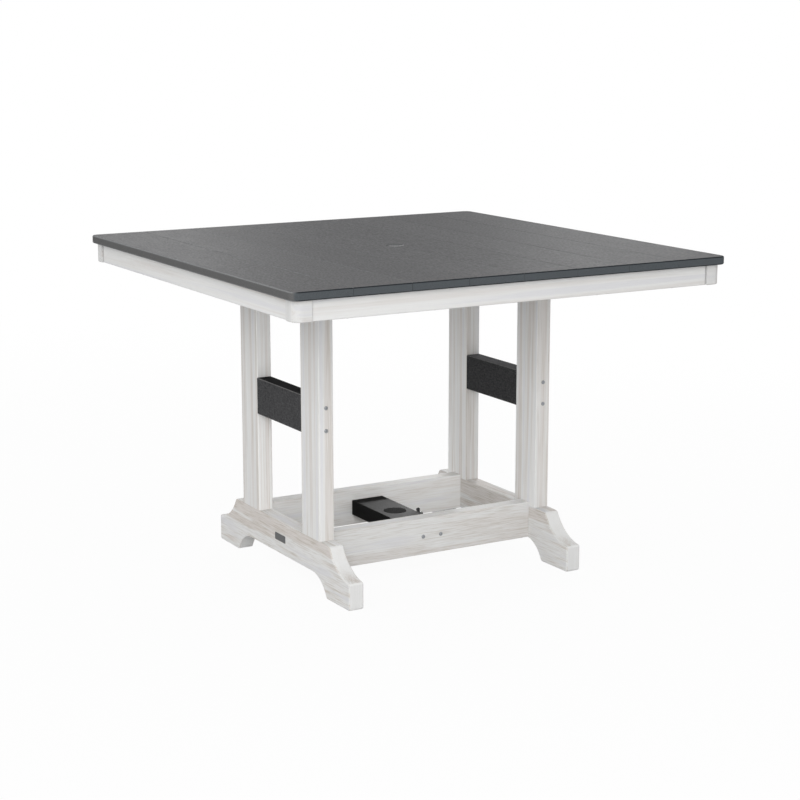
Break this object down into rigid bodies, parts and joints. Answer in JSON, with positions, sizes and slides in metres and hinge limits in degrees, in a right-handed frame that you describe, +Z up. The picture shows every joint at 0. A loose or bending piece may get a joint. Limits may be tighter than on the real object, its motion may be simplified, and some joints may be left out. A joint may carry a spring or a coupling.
{
  "type": "square dining table",
  "caption": "Square patio dining table with a plank top, apron, post legs on arched foot rails, and an umbrella hole with plug and clamped holder below.",
  "frame": {"origin": "on the floor, under the middle of the top", "axes": "+Z up, +X along the stretchers, +Y along the top boards"},
  "size_m": [1.1176, 1.1176, 0.771],
  "materials": {
    "slate_board": "dark slate grey plastic lumber with a fine speckle and a dull sheen",
    "white_plank": "pale whitewashed plastic lumber with grain streaks along each piece",
    "hidden_plank": "pale plastic lumber under the top",
    "charcoal_plank": "charcoal plastic lumber",
    "black_plank": "black plastic lumber with a dull sheen",
    "plug": "dark grey smooth plastic",
    "bolt_steel": "stainless steel",
    "stud_steel": "stainless steel",
    "insert_brass": "plain brass",
    "knob_black": "black moulded plastic"
  },
  "bodies": {
    "table": {"apron_back": "white_plank", "apron_front": "white_plank", "apron_left": "white_plank", "apron_right": "white_plank", "batten_back": "hidden_plank", "batten_front": "hidden_plank", "batten_middle": "hidden_plank", "clamp_insert": "insert_brass", "corner_block_back_left": "white_plank", "corner_block_back_right": "white_plank", "corner_block_front_left": "white_plank", "corner_block_front_right": "white_plank", "crossrail_bolts": "bolt_steel", "crossrail_left": "charcoal_plank", "crossrail_right": "charcoal_plank", "foot_rail_left": "white_plank", "foot_rail_right": "white_plank", "header_left": "hidden_plank", "header_right": "hidden_plank", "holder_bolts": "bolt_steel", "post_back_left": "white_plank", "post_back_right": "white_plank", "post_front_left": "white_plank", "post_front_right": "white_plank", "stretcher_back": "white_plank", "stretcher_front": "white_plank", "top_board_1": "slate_board", "top_board_2": "slate_board", "top_board_3": "slate_board", "top_board_4": "slate_board", "top_board_5": "slate_board", "top_board_6": "slate_board", "top_board_7": "slate_board", "top_board_8": "slate_board", "umbrella_holder": "black_plank"},
    "plug": {"umbrella_plug": "plug"},
    "stud": {"clamp_stud": "stud_steel"},
    "knob": {"clamp_knob": "knob_black"}
  },
  "joints": [
    {"name": "plug_lift", "type": "slide", "parent": "table", "child": "plug", "axis": [0, 0, 1], "range_m": [0, 0.45]},
    {"name": "clamp_advance", "type": "slide", "parent": "table", "child": "stud", "axis": [-1, 0, 0], "range_m": [0, 0.01271]},
    {"name": "clamp_turn", "type": "hinge", "parent": "stud", "child": "knob", "pos_m": [0.06, 0, 0.09195], "axis": [-1, 0, 0], "range_deg": [0, 3240]}
  ],
  "couplings": [
    {"joint": "clamp_advance", "follows": "clamp_turn", "m_per_rad": 0.00022458}
  ]
}
